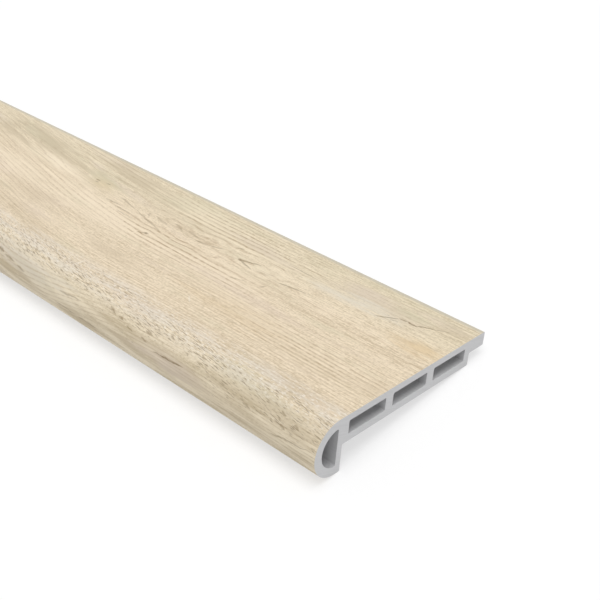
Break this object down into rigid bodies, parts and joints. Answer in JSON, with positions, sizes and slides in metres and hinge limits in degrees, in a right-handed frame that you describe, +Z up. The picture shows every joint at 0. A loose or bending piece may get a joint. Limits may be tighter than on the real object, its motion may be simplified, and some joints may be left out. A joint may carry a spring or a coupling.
{
  "type": "vinyl stair nosing",
  "caption": "Length of extruded vinyl stair nosing with a pale oak print, a hollow half-round nose and lip, flat inner chambers and a rear ledge that laps over floor planks.",
  "frame": {"origin": "midway along and across the part, at floor level, as it lies loose on a floor", "axes": "+X along the length, +Y from the round nose towards the rear ledge, +Z up"},
  "size_m": [2.4, 0.1157, 0.0272],
  "materials": {
    "oak_print_vinyl": "embossed pale oak print on the top face and nose, bare grey vinyl elsewhere"
  },
  "bodies": {
    "root": {"stair_nosing": "oak_print_vinyl"}
  },
  "joints": []
}
